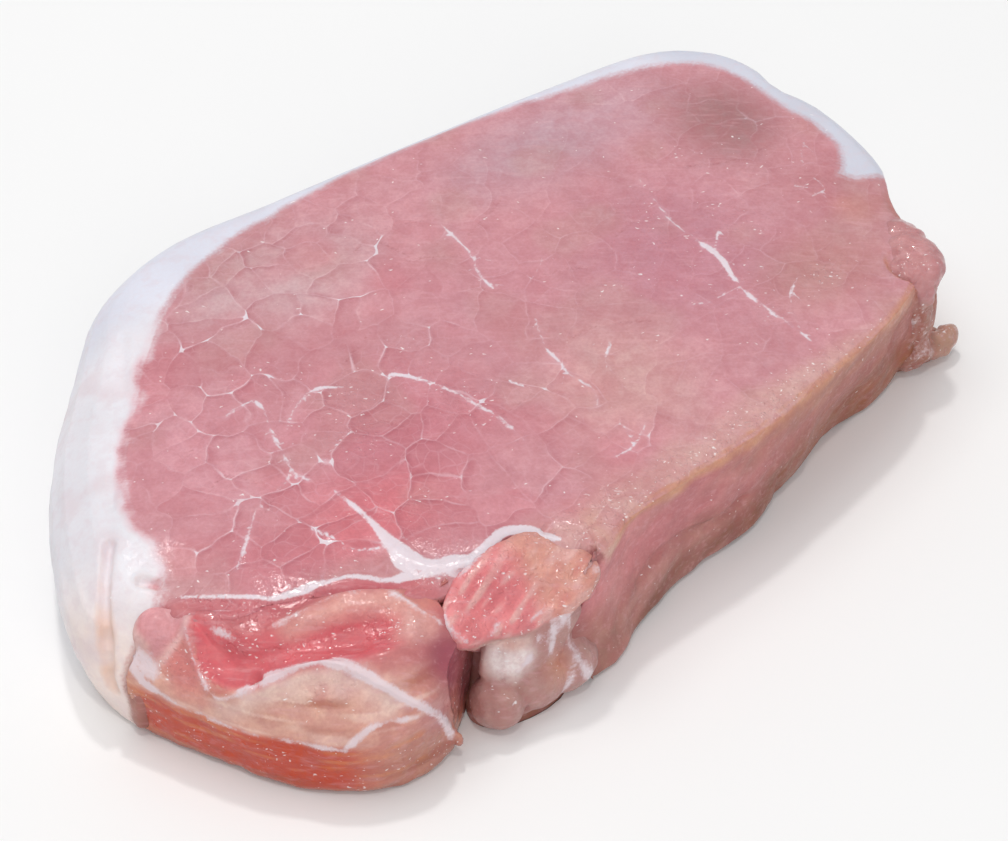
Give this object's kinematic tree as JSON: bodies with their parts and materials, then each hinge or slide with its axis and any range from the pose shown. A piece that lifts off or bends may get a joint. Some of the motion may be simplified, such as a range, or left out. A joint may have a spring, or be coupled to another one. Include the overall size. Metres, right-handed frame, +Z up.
{
  "type": "raw pork chop",
  "caption": "Thick raw boneless pork loin chop lying on its cut face, with a fat cap, a side muscle and a loose flap of trim.",
  "frame": {"origin": "on the underside, at the middle of the outline seen from above", "axes": "+X along the slice's long side towards the end with the folded scrap, +Y towards the straight back edge of fat, +Z up through the thickness"},
  "size_m": [0.1512, 0.0966, 0.023],
  "materials": {
    "lean_meat": "moist pink cut meat with fine grain and white veins, satin gloss with small wet glints",
    "white_fat": "firm white fat, faintly translucent, soft satin gloss",
    "red_meat": "darker wet red meat under pale membrane, glossy",
    "trim_meat": "pinkish tan trim with streaks of white fat, glossy"
  },
  "bodies": {
    "root": {"loin_eye": "lean_meat", "fat_cap": "white_fat", "side_muscle": "red_meat", "trim_flap": "trim_meat", "tail_end": "trim_meat"}
  },
  "joints": []
}
